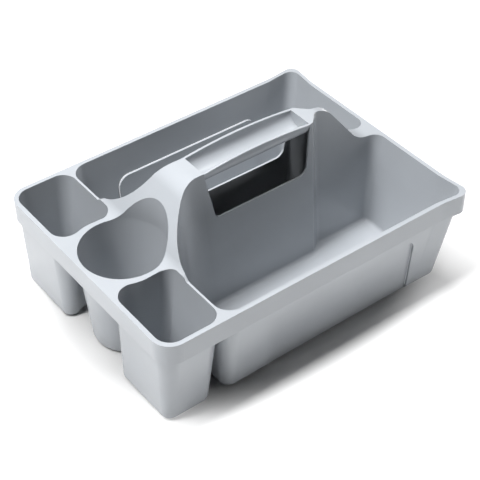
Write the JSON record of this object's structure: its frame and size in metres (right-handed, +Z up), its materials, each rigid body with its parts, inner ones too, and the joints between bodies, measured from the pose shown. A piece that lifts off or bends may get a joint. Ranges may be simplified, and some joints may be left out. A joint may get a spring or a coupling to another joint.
{
  "type": "tool storage caddy",
  "caption": "Glossy grey moulded carry caddy: two long deep tubs either side of a raised trough handle, with cups at one end.",
  "frame": {"origin": "centre of the overall footprint, on the surface the caddy stands on", "axes": "+X along the length, from the cup end to the tub end; +Y across, towards the rear tub; +Z up"},
  "size_m": [0.403, 0.305, 0.1855],
  "materials": {
    "grey_plastic": "gloss"
  },
  "bodies": {
    "root": {"cup_back_left": "grey_plastic", "cup_front_left": "grey_plastic", "cup_middle": "grey_plastic", "deck_back_left": "grey_plastic", "deck_front_left": "grey_plastic", "deck_end": "grey_plastic", "handle_grip": "grey_plastic", "rim_back": "grey_plastic", "rim_front": "grey_plastic", "rim_left": "grey_plastic", "rim_right": "grey_plastic", "shoulder_left": "grey_plastic", "shoulder_right": "grey_plastic", "tub_front": "grey_plastic", "tub_rear": "grey_plastic"}
  },
  "joints": []
}
